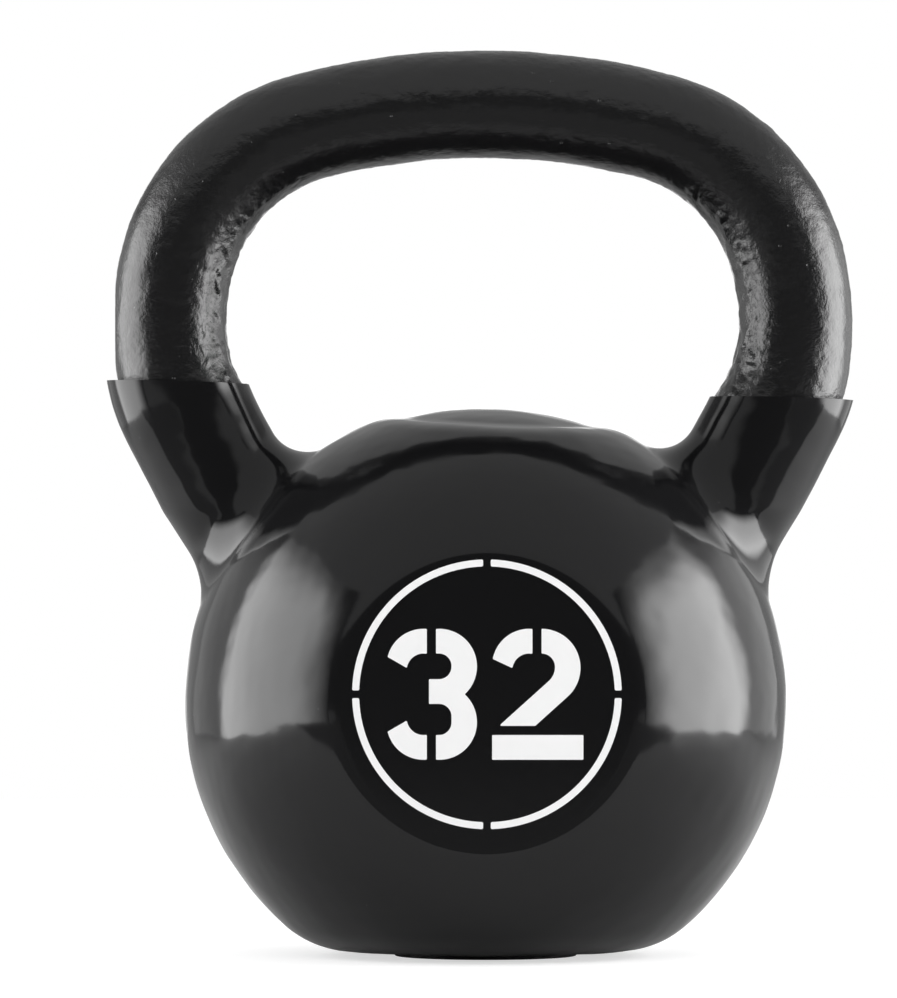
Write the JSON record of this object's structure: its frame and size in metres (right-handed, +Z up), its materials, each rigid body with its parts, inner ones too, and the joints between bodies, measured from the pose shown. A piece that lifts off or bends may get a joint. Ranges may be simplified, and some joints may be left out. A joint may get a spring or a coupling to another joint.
{
  "type": "kettlebell",
  "caption": "Vinyl-dipped cast-iron kettlebell with an enamelled loop handle, flat marked face and rubber foot pad, for swinging, lifting and carrying.",
  "frame": {"origin": "centre of the underside of the foot pad, on the floor and below the middle of the ball", "axes": "+Z up through the crown of the handle, X along the handle, -Y out of the marked face"},
  "size_m": [0.2565, 0.179, 0.3082],
  "materials": {
    "iron": "sand-cast grey iron, bare where the coats hide it",
    "enamel": "gloss black enamel over cast texture, with small pits and a ground parting line",
    "vinyl": "thick gloss black dipped vinyl with soft waves",
    "pad": "matte black rubber",
    "print": "opaque white print"
  },
  "bodies": {
    "root": {"iron_casting": "iron", "handle_enamel": "enamel", "vinyl_jacket": "vinyl", "foot_pad": "pad", "ring_print": "print", "numeral_three": "print", "numeral_two": "print"}
  },
  "joints": []
}
